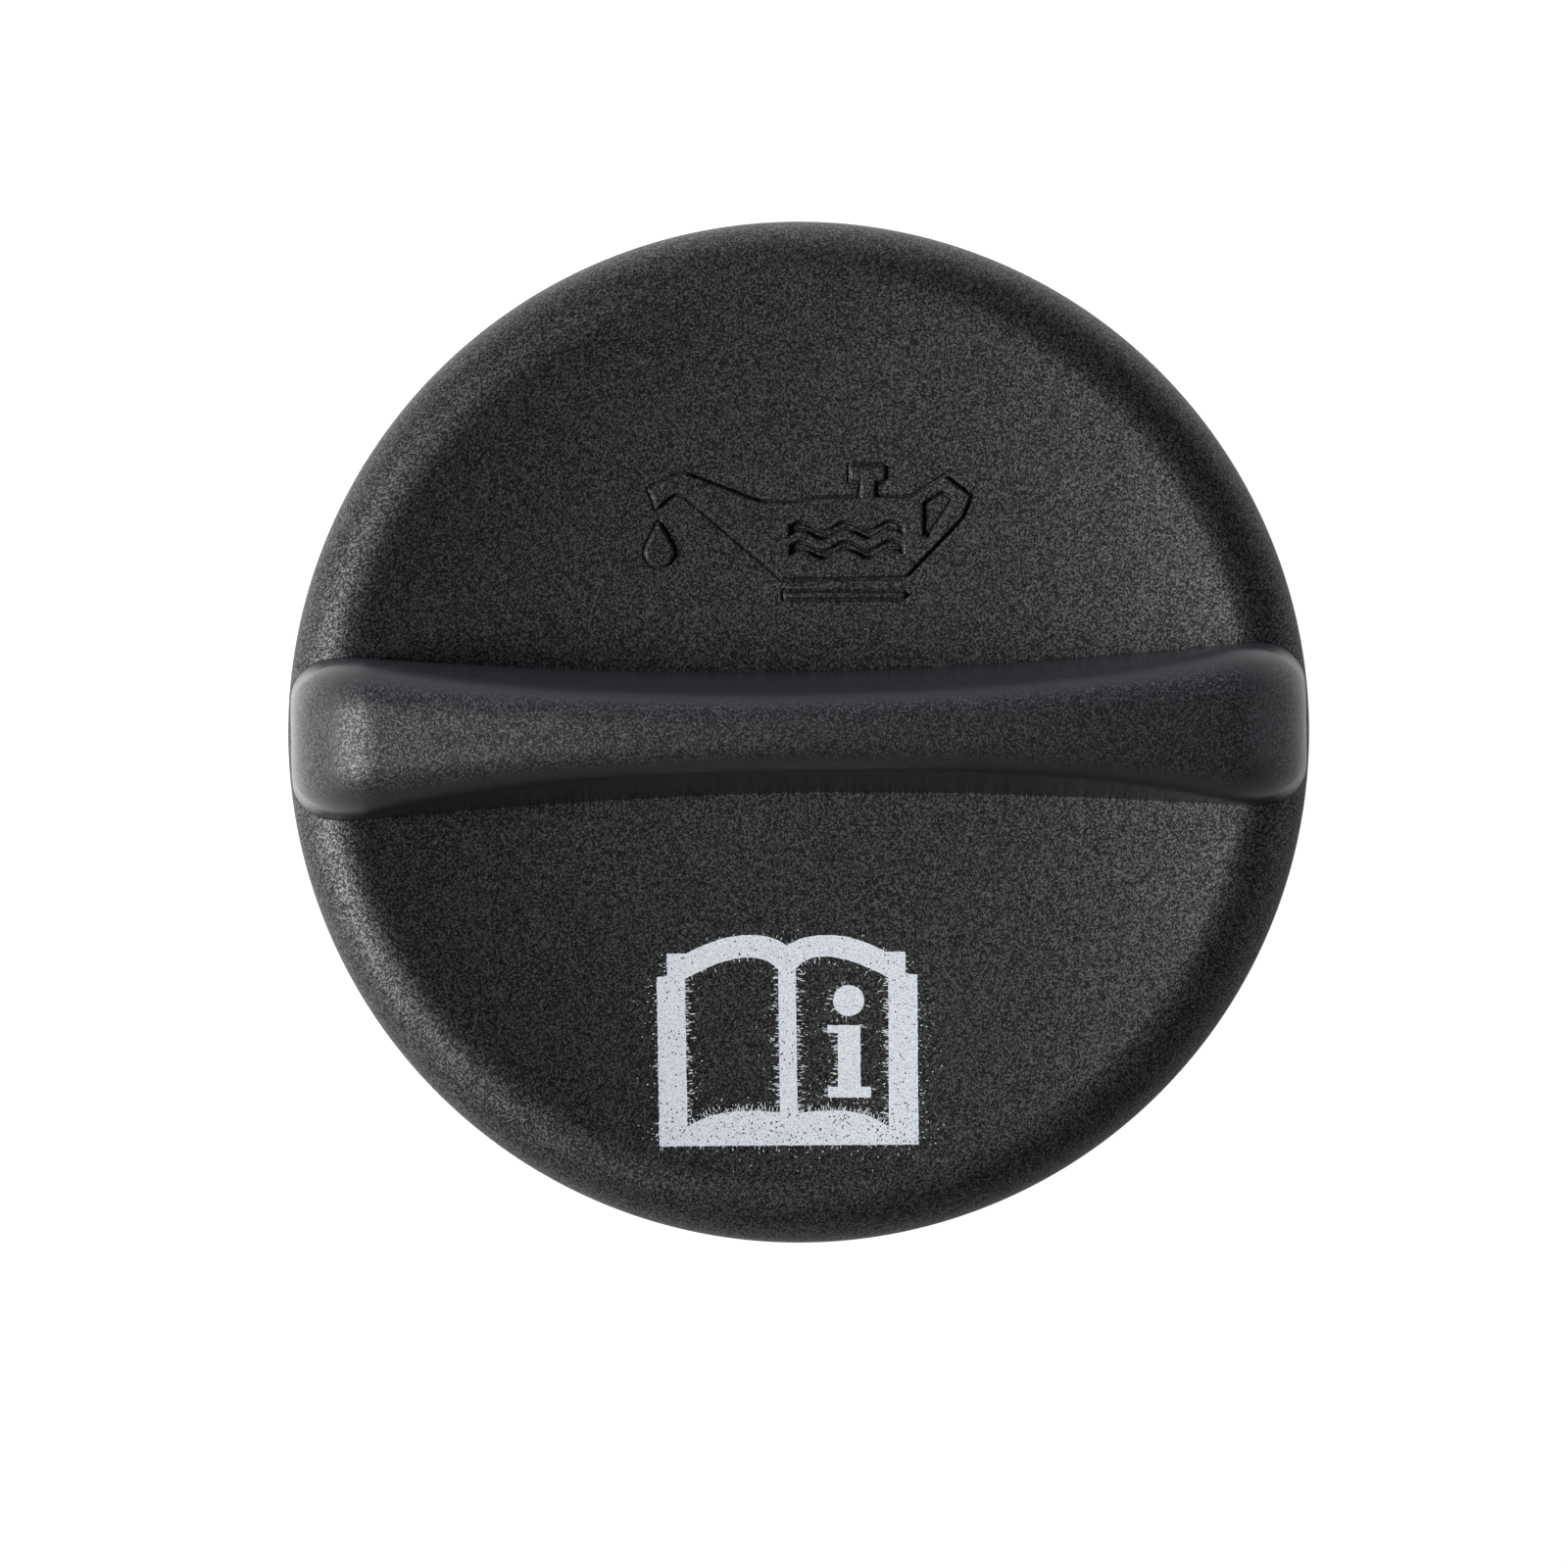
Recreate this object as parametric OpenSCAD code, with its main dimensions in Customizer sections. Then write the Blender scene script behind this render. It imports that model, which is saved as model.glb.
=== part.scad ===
// Oil filler cap of an engine: dished round cover with a crowned grip bar,
// clipped to a bayonet plug that carries a flat seal ring and a splash disc.
// Millimetres, +Z up. The origin is the middle of the plug's lower end.
// The grip bar runs along X.

/* [Cover] */
// Outer diameter at the lower edge of the skirt
cover_diameter = 70; // [68:0.5:76]
// Height of the cover from the lower edge of the skirt to the crest of the rim
cover_height = 20.5; // [18:0.5:23]
// Wall of the dish, the shoulder and the skirt
cover_wall = 2.5; // [2:0.1:3]
// How much narrower in radius the skirt is at its upper end
skirt_draft = 0.4; // [0.2:0.05:0.5]
// Distance in radius from the outer edge of the cover to the crest of the rim
crest_inset = 4.1; // [4:0.1:4.6]
// Radius of the narrow crest, seen in section
crest_round = 2.2; // [1.4:0.1:2.4]
// Radius of the rim's outer rounding, seen in section
shoulder_round = 4.6; // [4.4:0.1:5]
// Rounding of the skirt's lower edge
skirt_edge_round = 0.8; // [0.3:0.1:1.2]
// Depth of the dish below the crest
dish_depth = 3; // [2:0.1:3.6]
// Power of the dish's curve, higher is flatter in the middle
dish_power = 2.8; // [2:0.1:3]

/* [Grip bar] */
// Height of the bar's top above the crest, at mid-length
bar_rise = 9; // [7:0.5:11]
// How much lower the bar's top lies at its ends than at mid-length
bar_crown = 2; // [1:0.1:3]
// Distance from the outer edge of the cover to the end face of the bar
bar_end_inset = 0.9; // [0.6:0.1:1.2]
// Width of the bar at mid-length, at its foot
bar_waist_width = 8.2; // [7.8:0.1:9]
// Width of the bar near its ends, at its foot
bar_end_width = 11; // [10.4:0.1:12]
// Power of the flare from waist to ends
bar_flare = 1.7; // [1.4:0.1:2.2]
// Width of the flat land along the bar's top at mid-length
bar_land_width = 0.8; // [0.6:0.1:1]
// Width of the flat land near the bar's ends
bar_end_land_width = 3.2; // [2.6:0.1:3.6]
// Width of the rounding between land and flank at mid-length
bar_edge_round = 2.3; // [2:0.1:3]
// Width of the rounding between land and flank near the ends
bar_end_edge_round = 3.7; // [3.3:0.1:3.8]
// How much higher than wide that rounding is
bar_edge_stretch = 1.2; // [1:0.05:1.7]
// Length of the corner rounding of the bar's ends, seen from above
bar_corner_length = 3.9; // [3:0.1:4.6]
// Width of that rounding
bar_corner_width = 2.3; // [2:0.1:3.4]
// Length of the rounding of the bar's ends, seen from the side
bar_end_round = 7; // [6:0.5:8]
// Height of that rounding
bar_end_drop = 9.6; // [8:0.2:9.8]
// Wall of the hollow bar
bar_wall = 2.2; // [1.8:0.1:2.6]
// Number of pairs of cross webs inside the bar
bar_web_pairs = 3; // [2:1:4]
// Distance between neighbouring cross webs
bar_web_pitch = 9; // [7:0.5:9]
// Thickness of each cross web
bar_web_wall = 1.4; // [1:0.1:2]

/* [Ribs and hub of the cover] */
// Height of the hub zone between the plug's flange and the underside of the dish
hub_height = 5.5; // [5:0.1:7]
// Wall of the hub ring
hub_wall = 2.4; // [2:0.1:3]
// Number of radial ribs
rib_count = 8; // [8:4:16]
// Thickness of each radial rib
rib_wall = 1.4; // [1:0.1:2]
// Length by which each rib runs down the inside of the skirt below the flange's top
rib_tail = 4; // [2:0.5:5]

/* [Plug] */
// Diameter of the barrel that carries the bayonet lugs
barrel_diameter = 36; // [34:0.5:37]
// Wall of the barrel
barrel_wall = 2.4; // [2:0.1:3]
// Lead-in chamfer at the tip of the barrel
tip_chamfer = 0.8; // [0.4:0.1:1.2]
// Distance from the tip to the lower side of the lugs
lug_setback = 1; // [0.5:0.1:2]
// Height of each lug at the end of its ramp
lug_height = 3.5; // [3:0.1:5]
// Number of bayonet lugs
lug_count = 3; // [2:1:4]
// Angle that each lug covers
lug_angle = 44; // [30:1:50]
// How much lower the lug's ramp starts than it ends
lug_ramp_rise = 1.2; // [0.6:0.1:1.8]
// How far the lugs stay inside the pilot's radius
lug_relief = 0.5; // [0.3:0.1:1]
// Height of the stop above the end of the ramp
lug_stop_height = 1.5; // [1:0.1:2]
// Angle that the stop covers
lug_stop_angle = 6; // [4:1:8]
// Free height between the lugs and the pilot, where the neck's ledge sits
ledge_gap = 3; // [2.6:0.1:5]
// Diameter of the pilot that centres the plug in the filler neck
pilot_diameter = 43; // [42:0.5:45]
// Height of the pilot below the seal ring
pilot_height = 3; // [2:0.1:5]
// Chamfer at the pilot's lower edge
pilot_chamfer = 0.4; // [0.2:0.1:0.8]
// How much narrower in radius the pilot is where the seal ring's edge goes over it
pilot_relief = 0.3; // [0.25:0.05:0.4]
// Height of that relief below the seal ring
pilot_relief_height = 0.2; // [0.2:0.1:0.4]
// Depth of the groove that holds the seal ring, in radius
seal_groove_depth = 0.8; // [0.7:0.1:1.1]
// Thickness of the flange
flange_thickness = 2; // [1.6:0.1:3]
// How far the flange stands out past the seal ring
flange_margin = 0.5; // [0.3:0.1:1]
// Wall of the ribs inside the barrel
barrel_rib_wall = 1.6; // [1.2:0.1:2.4]
// Diameter of the boss where the barrel's ribs meet
barrel_boss_diameter = 6; // [4:0.5:8]

/* [Snap collar of the plug] */
// Outer diameter of the collar
collar_diameter = 39.6; // [38:0.2:41]
// Wall of the collar
collar_wall = 2; // [1.6:0.1:2.6]
// Free height left between the collar and the underside of the dish
collar_headroom = 0.4; // [0.3:0.1:0.6]
// Number of snap hooks on the collar
hook_count = 4; // [4:2:6]
// Width of each hook
hook_width = 7; // [5:0.5:8]
// Reach of each hook past the collar
hook_reach = 1.2; // [0.8:0.1:1.6]
// Height of each hook
hook_height = 1.6; // [1.2:0.1:2]
// Width of the slots beside each hook
hook_slot = 1; // [0.8:0.1:1.4]
// Width of each drive key
key_width = 4; // [3:0.5:5]
// Reach of each drive key past the collar
key_reach = 1.2; // [0.8:0.1:1.6]

/* [Seal ring] */
// Thickness of the seal ring
seal_thickness = 2.5; // [2:0.1:3.5]
// Width of the seal ring in radius
seal_width = 6.5; // [5.5:0.1:7]
// Height of the step at the seal ring's inner edge, which rests on the pilot
seal_step = 0.5; // [0.3:0.1:0.8]
// Chamfer of the seal ring's outer edges
seal_chamfer = 0.4; // [0.2:0.1:0.7]

/* [Splash disc] */
// Thickness of the splash disc
disc_thickness = 1.4; // [1:0.1:2]
// Height of the lip below the disc at the barrel's mouth
disc_lip_height = 0.8; // [0.6:0.1:1.2]
// Overlap of the lip with the disc, in radius
disc_lip_reach = 0.3; // [0.2:0.05:0.5]
// Number of drain slots
disc_slot_count = 4; // [3:1:6]
// Width of each drain slot
disc_slot_width = 1.6; // [1.2:0.1:2.4]
// Diameter of the circle on which the drain slots lie
disc_slot_circle = 21; // [18:0.5:24]

/* [Clearances] */
// Clearance of the collar, the keys and the hooks in the hub
snap_clearance = 0.1; // [0.05:0.05:0.2]
// Clearance of the seal ring around its groove
seal_clearance = 0.1; // [0.05:0.05:0.2]
// Clearance of the splash disc in the barrel
disc_clearance = 0.1; // [0.05:0.05:0.2]
// Clearance between parts that rest on one another
seat_clearance = 0.05; // [0.02:0.01:0.1]

/* [Hidden] */
$fn = 96;

// Heights of the stack, from the plug's tip upwards
lug_bottom = lug_setback;
lug_top = lug_bottom + lug_height;
pilot_bottom = lug_top + ledge_gap;
seal_bottom = pilot_bottom + pilot_height;
flange_bottom = seal_bottom + seal_thickness + seat_clearance;
flange_top = flange_bottom + flange_thickness;
hub_bottom = flange_top + seat_clearance;
dish_underside = flange_top + hub_height;
dish_floor = dish_underside + cover_wall;
crest_top = dish_floor + dish_depth;
skirt_bottom = crest_top - cover_height;
bar_top_mid = crest_top + bar_rise;

// Radii of the cover
cover_radius = cover_diameter / 2;
skirt_top_radius = cover_radius - skirt_draft;
crest_radius = cover_radius - crest_inset;
cavity_radius = skirt_top_radius - cover_wall;

// The rim: a narrow crest arc that runs tangentially into the shoulder's arc
shoulder_axis = skirt_top_radius - shoulder_round;
crest_axis_height = crest_top - crest_round;
rim_side = crest_radius - shoulder_axis;
rim_lift = sqrt(pow(shoulder_round - crest_round, 2) - pow(rim_side, 2));
shoulder_height = crest_axis_height - rim_lift;
rim_angle = atan2(rim_lift, rim_side);
dish_slope = atan(dish_power * dish_depth / crest_radius);
dish_edge_radius = crest_radius - crest_round * sin(dish_slope);
dish_edge_height = crest_axis_height + crest_round * cos(dish_slope);

// The bar
bar_reach = cover_radius - bar_end_inset;
bar_widest = bar_reach - bar_corner_length;
bar_nose_axis = bar_reach - bar_end_round;
bar_end_angle = atan(2 * bar_crown / bar_nose_axis * bar_end_round / bar_end_drop);
bar_crown_reach = bar_nose_axis + bar_end_round * sin(bar_end_angle);
bar_nose_height = bar_top_mid - bar_crown - bar_end_drop * cos(bar_end_angle);
bar_root = shoulder_height - 1;
bar_steps = 48;
edge_steps = 8;

// Radii of the plug and of what it carries
barrel_radius = barrel_diameter / 2;
bore_radius = barrel_radius - barrel_wall;
pilot_radius = pilot_diameter / 2;
lug_radius = pilot_radius - lug_relief;
groove_radius = pilot_radius - seal_groove_depth;
seal_inner_radius = groove_radius + seal_clearance;
seal_step_radius = pilot_radius + seal_clearance;
seal_outer_radius = seal_inner_radius + seal_width;
seal_ledge = seal_bottom + seal_step;
flange_radius = seal_outer_radius + flange_margin;
collar_radius = collar_diameter / 2;
collar_top = dish_underside - collar_headroom;
hub_inner_radius = collar_radius + snap_clearance;
hub_outer_radius = hub_inner_radius + hub_wall;
hook_top = collar_top - 0.6;
hook_bottom = hook_top - hook_height;
disc_bottom = disc_lip_height;
disc_top = disc_bottom + disc_thickness;
disc_radius = bore_radius - disc_clearance;

// Points of an arc around [r, z], from one angle to another
function arc(r, z, radius, from, to, steps) =
    [for (i = [0:steps]) let (a = from + (to - from) * i / steps)
        [r + radius * cos(a), z + radius * sin(a)]];

// Points of a quarter of an oval around [y, z], from an angle up to its top
function oval_arc(y, z, width, height, from, steps) =
    [for (i = [0:steps]) let (a = from + (90 - from) * i / steps) [y + width * cos(a), z + height * sin(a)]];

// Height of the dish's upper face at radius r
function dish_height(r) =
    dish_floor + (dish_edge_height - dish_floor) * pow(min(r, dish_edge_radius) / dish_edge_radius, dish_power);

// Points of the dish's face, lowered by a wall, from radius r inwards
function dish_line(r, drop, steps) =
    [for (i = [0:steps]) let (d = r * (1 - i / steps)) [d, dish_height(d) - drop]];

// What the corner rounding takes off the bar's half width at x
function bar_corner(x, wall) =
    max(bar_corner_width - wall, 0.1)
        * (1 - sqrt(max(0, 1 - pow(max(0, abs(x) - bar_widest) / (bar_corner_length - wall), 2))));

// Half width of the bar's foot at x, drawn smaller by a wall
function bar_half_width(x, wall) =
    (bar_waist_width + (bar_end_width - bar_waist_width) * pow(abs(x) / bar_widest, bar_flare)) / 2
        - wall - bar_corner(x, wall);

// Height of the bar's top at x, lowered by a wall: a shallow crown, then a rounded nose
function bar_top(x, wall) =
    abs(x) <= bar_nose_axis + (bar_end_round - wall) * sin(bar_end_angle)
    ? bar_top_mid - bar_crown * pow(x / bar_crown_reach, 2) - wall
    : bar_nose_height + (bar_end_drop - wall)
        * sqrt(max(0, 1 - pow((abs(x) - bar_nose_axis) / (bar_end_round - wall), 2)));

// Height at which the bar's flank starts to lean inwards
function bar_foot(x) =
    abs(x) <= crest_radius
    ? dish_height(abs(x))
    : crest_top - 4 * pow((abs(x) - crest_radius) / (bar_reach - crest_radius), 2);

// Width of the rounding between land and flank at x
function bar_edge(x) =
    bar_edge_round
        + (bar_end_edge_round - bar_edge_round) * pow(min(1, abs(x) / bar_widest), 2 * bar_flare);

// Half width of the flat land at x
function bar_half_land(x) =
    (bar_land_width + (bar_end_land_width - bar_land_width) * pow(min(1, abs(x) / bar_widest), bar_flare)) / 2;

// Right half of the bar's section at x, drawn smaller by a wall
function bar_half_section(x, wall, bottom) =
    let (
        half = bar_half_width(x, wall),
        top = bar_top(x, wall),
        foot = min(bar_foot(x), top - 1),
        share = half / (half + bar_corner(x, wall)),
        edge = max(bar_edge(x) - wall, 0.4) * share,
        rise = min(edge * bar_edge_stretch, 0.9 * (top - foot)),
        land = min(bar_half_land(x) * share, half - edge),
        lean = atan((half - land - edge) / (top - rise - foot) * rise / edge)
    )
    concat([[half, bottom], [half, foot]], oval_arc(land, top - rise, edge, rise, lean, edge_steps));

// The whole section at x as points of a skin: up the right side, down the left
function bar_section(x, wall, bottom) =
    let (right = bar_half_section(x, wall, bottom), last = len(right) - 1)
    concat(
        [for (p = right) [x, p[0], p[1]]],
        [for (i = [last:-1:0]) [x, -right[i][0], right[i][1]]]
    );

// Solid of the bar, or of its hollow when a wall is given
module bar_solid(wall, bottom) {
    reach = bar_reach - wall;
    stations = [for (i = [0:bar_steps]) -reach * cos(180 * i / bar_steps)];
    sections = [for (x = stations) bar_section(x, wall, bottom)];
    count = len(sections[0]);
    points = [for (section = sections) each section];
    sides = [for (i = [0:bar_steps - 1], j = [0:count - 1])
        let (a = i * count + j, b = i * count + (j + 1) % count)
        each [[a, a + count, b], [b, a + count, b + count]]];
    ends = [for (j = [0:count / 2 - 2])
        let (a = j, b = count - 1 - j, c = bar_steps * count)
        each [[a, a + 1, b], [a + 1, b - 1, b], [c + a, c + b, c + a + 1], [c + a + 1, c + b, c + b - 1]]];
    polyhedron(points = points, faces = concat(sides, ends), convexity = 4);
}

// The cover's outer body without the bar, filled solid
module cover_body() {
    rotate_extrude()
        polygon(concat(
            [[0, skirt_bottom]],
            arc(cover_radius - skirt_edge_round, skirt_bottom + skirt_edge_round, skirt_edge_round, -90, 0, 5),
            arc(shoulder_axis, shoulder_height, shoulder_round, 0, rim_angle, 14),
            arc(crest_radius, crest_axis_height, crest_round, rim_angle + 4, 90 + dish_slope, 6),
            dish_line(dish_edge_radius - 0.5, 0, 20)
        ));
}

// The hollow under the cover
module cover_cavity() {
    rotate_extrude()
        polygon(concat(
            [[0, skirt_bottom - 1], [cavity_radius, skirt_bottom - 1]],
            arc(shoulder_axis, shoulder_height, shoulder_round - cover_wall, 0, 80, 8),
            dish_line(shoulder_axis - 0.8, cover_wall, 14)
        ));
}

// One radial rib, from the hub ring to the inside of the skirt
module cover_rib() {
    inner = hub_outer_radius - hub_wall / 2;
    outer = cavity_radius + cover_wall / 3;
    rib_bottom = flange_top + 0.3;
    rotate([90, 0, 0])
        translate([0, 0, -rib_wall / 2])
            linear_extrude(height = rib_wall)
                polygon([
                    [inner, rib_bottom],
                    [flange_radius + 0.4, rib_bottom],
                    [cavity_radius - 0.4, flange_top - rib_tail],
                    [outer, flange_top - rib_tail],
                    [outer, shoulder_height],
                    [shoulder_axis + 0.4, shoulder_height + shoulder_round - cover_wall + 0.6],
                    [inner, dish_height(inner) - cover_wall / 2]
                ]);
}

// The ring that takes the plug's collar, with hook windows and keyways
module cover_hub() {
    top = dish_height(hub_inner_radius) - cover_wall / 2;
    difference() {
        translate([0, 0, hub_bottom])
            cylinder(r = hub_outer_radius, h = top - hub_bottom);
        translate([0, 0, hub_bottom - 1])
            cylinder(r = hub_inner_radius, h = top - hub_bottom + 2);
        for (i = [0:hook_count - 1])
            rotate([0, 0, 45 + i * 360 / hook_count])
                translate([
                    hub_inner_radius - 1,
                    -hook_width / 2 - snap_clearance,
                    hook_bottom - snap_clearance
                ])
                    cube([
                        hub_wall + 2,
                        hook_width + 2 * snap_clearance,
                        hook_height + 2 * snap_clearance
                    ]);
        for (a = [0, 180])
            rotate([0, 0, a])
                translate([hub_inner_radius - 1, -key_width / 2 - snap_clearance, hub_bottom - 1])
                    cube([
                        1 + key_reach,
                        key_width + 2 * snap_clearance,
                        collar_top - hub_bottom + 1 + snap_clearance
                    ]);
    }
}

// Cross webs that tie the bar's two walls together
module bar_webs() {
    for (i = [1:bar_web_pairs], side = [-1, 1])
        let (
            x = side * (i - 0.5) * bar_web_pitch,
            right = bar_half_section(x, bar_wall / 2, dish_height(abs(x)) - cover_wall / 2)
        )
            translate([x, 0, 0])
                rotate([90, 0, 90])
                    linear_extrude(height = bar_web_wall, center = true)
                        polygon(concat(right, [for (j = [len(right) - 1:-1:0]) [-right[j][0], right[j][1]]]));
}

module cover() {
    color([0.07, 0.07, 0.075]) {
        difference() {
            union() {
                cover_body();
                bar_solid(0, bar_root);
            }
            cover_cavity();
            bar_solid(bar_wall, hub_bottom);
        }
        for (i = [0:rib_count - 1])
            rotate([0, 0, (i + 0.5) * 360 / rib_count])
                cover_rib();
        cover_hub();
        bar_webs();
    }
}

// One bayonet lug: a sector whose upper face is cut to a ramp that ends at a stop
module bayonet_lug() {
    mid = lug_angle / 2;
    chord = 2 * lug_radius * sin(mid);
    stop_face = lug_radius * sin(mid - lug_stop_angle);
    difference() {
        rotate([0, 0, -mid])
            rotate_extrude(angle = lug_angle)
                polygon([
                    [barrel_radius - 1, lug_bottom],
                    [lug_radius - 0.8, lug_bottom],
                    [lug_radius, lug_bottom + 0.8],
                    [lug_radius, lug_top + lug_stop_height],
                    [barrel_radius - 1, lug_top + lug_stop_height]
                ]);
        translate([0, stop_face, lug_top])
            rotate([atan(lug_ramp_rise / chord), 0, 0])
                translate([barrel_radius - 2, -2 * lug_radius, 0])
                    cube([lug_radius, 2 * lug_radius, lug_height + lug_stop_height]);
    }
}

// The collar with its hooks, slots and drive keys
module snap_collar() {
    height = collar_top - flange_top;
    difference() {
        union() {
            translate([0, 0, flange_top - 0.5])
                cylinder(r = collar_radius, h = height + 0.5);
            for (a = [0, 180])
                rotate([0, 0, a])
                    translate([collar_radius - 1, -key_width / 2, flange_top - 0.5])
                        cube([1 + key_reach - snap_clearance, key_width, height]);
            for (i = [0:hook_count - 1])
                rotate([0, 0, 45 + i * 360 / hook_count])
                    rotate([90, 0, 0])
                        translate([0, 0, -hook_width / 2])
                            linear_extrude(height = hook_width)
                                polygon([
                                    [collar_radius - 1, hook_bottom],
                                    [collar_radius + hook_reach, hook_bottom],
                                    [collar_radius + hook_reach, hook_bottom + 0.4],
                                    [collar_radius - 0.2, hook_top],
                                    [collar_radius - 1, hook_top]
                                ]);
        }
        translate([0, 0, flange_top - 1])
            cylinder(r = collar_radius - collar_wall, h = height + 2);
        for (i = [0:hook_count - 1], side = [-1, 1])
            rotate([0, 0, 45 + i * 360 / hook_count])
                translate([
                    collar_radius - collar_wall - 1,
                    side * (hook_width + hook_slot) / 2 - hook_slot / 2,
                    flange_top + 0.5
                ])
                    cube([collar_wall + 3, hook_slot, height]);
    }
}

module plug() {
    color([0.09, 0.09, 0.095]) {
        difference() {
            union() {
                cylinder(r1 = barrel_radius - tip_chamfer, r2 = barrel_radius, h = tip_chamfer);
                translate([0, 0, tip_chamfer])
                    cylinder(r = barrel_radius, h = flange_bottom - tip_chamfer);
                translate([0, 0, pilot_bottom])
                    cylinder(r1 = pilot_radius - pilot_chamfer, r2 = pilot_radius, h = pilot_chamfer);
                translate([0, 0, pilot_bottom + pilot_chamfer])
                    cylinder(r = pilot_radius, h = pilot_height - pilot_chamfer - pilot_relief_height);
                translate([0, 0, seal_bottom - pilot_relief_height - 0.1])
                    cylinder(r = pilot_radius - pilot_relief, h = seal_step + pilot_relief_height + 0.1);
                translate([0, 0, seal_ledge])
                    cylinder(r = groove_radius, h = flange_bottom - seal_ledge);
                translate([0, 0, flange_bottom])
                    cylinder(r = flange_radius, h = flange_thickness);
            }
            translate([0, 0, disc_lip_height])
                cylinder(r = bore_radius, h = flange_bottom - disc_lip_height);
            translate([0, 0, -1])
                cylinder(r = disc_radius - disc_lip_reach, h = disc_lip_height + 2);
        }
        for (a = [0, 90])
            rotate([0, 0, a])
                translate([-bore_radius - 0.5, -barrel_rib_wall / 2, disc_top + seat_clearance])
                    cube([
                        2 * bore_radius + 1,
                        barrel_rib_wall,
                        flange_bottom - disc_top - seat_clearance + 0.5
                    ]);
        translate([0, 0, disc_top + seat_clearance])
            cylinder(d = barrel_boss_diameter, h = flange_bottom - disc_top - seat_clearance + 0.5);
        for (i = [0:lug_count - 1])
            rotate([0, 0, 90 + i * 360 / lug_count])
                bayonet_lug();
        snap_collar();
    }
}

module seal_ring() {
    color([0.03, 0.03, 0.032])
        rotate_extrude()
            polygon([
                [seal_inner_radius, seal_ledge],
                [seal_step_radius, seal_ledge],
                [seal_step_radius, seal_bottom],
                [seal_outer_radius - seal_chamfer, seal_bottom],
                [seal_outer_radius, seal_bottom + seal_chamfer],
                [seal_outer_radius, seal_bottom + seal_thickness - seal_chamfer],
                [seal_outer_radius - seal_chamfer, seal_bottom + seal_thickness],
                [seal_inner_radius, seal_bottom + seal_thickness]
            ]);
}

module splash_disc() {
    slot_radius = disc_slot_circle / 2;
    color([0.16, 0.16, 0.165])
        difference() {
            translate([0, 0, disc_bottom])
                cylinder(r = disc_radius, h = disc_thickness);
            for (i = [0:disc_slot_count - 1])
                rotate([0, 0, 45 + i * 360 / disc_slot_count])
                    rotate([0, 0, -18])
                        rotate_extrude(angle = 36)
                            translate([slot_radius - disc_slot_width / 2, disc_bottom - 1])
                                square([disc_slot_width, disc_thickness + 2]);
        }
}

cover();
plug();
seal_ring();
splash_disc();
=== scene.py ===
import math
import random

import bmesh
import bpy
import numpy as np
from mathutils import Matrix, Vector
from mathutils.bvhtree import BVHTree


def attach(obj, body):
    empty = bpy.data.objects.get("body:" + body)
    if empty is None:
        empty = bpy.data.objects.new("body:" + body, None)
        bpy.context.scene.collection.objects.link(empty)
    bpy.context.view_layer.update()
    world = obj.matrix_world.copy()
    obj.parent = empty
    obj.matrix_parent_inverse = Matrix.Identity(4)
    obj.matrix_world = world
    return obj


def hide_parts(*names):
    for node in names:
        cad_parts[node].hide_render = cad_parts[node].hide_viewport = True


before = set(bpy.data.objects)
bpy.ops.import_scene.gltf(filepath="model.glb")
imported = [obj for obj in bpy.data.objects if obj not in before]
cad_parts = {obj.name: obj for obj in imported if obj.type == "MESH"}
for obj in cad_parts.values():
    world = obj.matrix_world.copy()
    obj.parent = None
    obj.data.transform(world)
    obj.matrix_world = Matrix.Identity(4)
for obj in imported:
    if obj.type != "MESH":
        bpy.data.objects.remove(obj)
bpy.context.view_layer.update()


# The cover's outer skin is the skirt, the rounded shoulder, the narrow crest and the dish, moulded in black
# nylon with a spark-eroded grain so fine that it reads as bright specks. Those specks are partly the grain's
# own tone and partly its glints, painted into the colour as well as set in the gloss. Sizes are in
# millimetres until the mesh is made. They follow the CAD cover, with a shoulder that stands 0.15 mm fuller
# and a softer crest.
MM = 0.001


def socket(node, name, value):
    node.inputs[name].default_value = value


def new_material(name, colour, roughness, specular):
    """A plain moulded finish, with its linear colour, and the place on the piece that patterns read."""
    material = bpy.data.materials.new(name)
    material.use_nodes = True
    tree = material.node_tree
    shader = tree.nodes["Principled BSDF"]
    socket(shader, "Base Color", (*colour, 1))
    socket(shader, "Roughness", roughness)
    socket(shader, "Specular IOR Level", specular)
    return material, tree, shader, tree.nodes.new("ShaderNodeTexCoord").outputs["Object"]


def noise(tree, where, scale, detail, rough=0.5):
    node = tree.nodes.new("ShaderNodeTexNoise")
    socket(node, "Scale", scale)
    socket(node, "Detail", detail)
    socket(node, "Roughness", rough)
    tree.links.new(where, node.inputs["Vector"])
    return node.outputs["Fac"]


def remap(tree, value, low, high, to_low, to_high):
    node = tree.nodes.new("ShaderNodeMapRange")
    node.interpolation_type = "SMOOTHSTEP"
    for name, number in (("From Min", low), ("From Max", high), ("To Min", to_low), ("To Max", to_high)):
        socket(node, name, number)
    tree.links.new(value, node.inputs["Value"])
    return node.outputs["Result"]


def combine(tree, kind, a, b):
    """Joins two values, each a number or another node's output."""
    node = tree.nodes.new("ShaderNodeMath")
    node.operation = kind
    for i, v in enumerate((a, b)):
        if isinstance(v, (int, float)):
            node.inputs[i].default_value = v
        else:
            tree.links.new(v, node.inputs[i])
    return node.outputs[0]


def bump(tree, shader, height, strength, distance):
    node = tree.nodes.new("ShaderNodeBump")
    socket(node, "Distance", distance)
    if isinstance(strength, (int, float)):
        socket(node, "Strength", strength)
    else:
        tree.links.new(strength, node.inputs["Strength"])
    tree.links.new(height, node.inputs["Height"])
    tree.links.new(node.outputs["Normal"], shader.inputs["Normal"])


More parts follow.
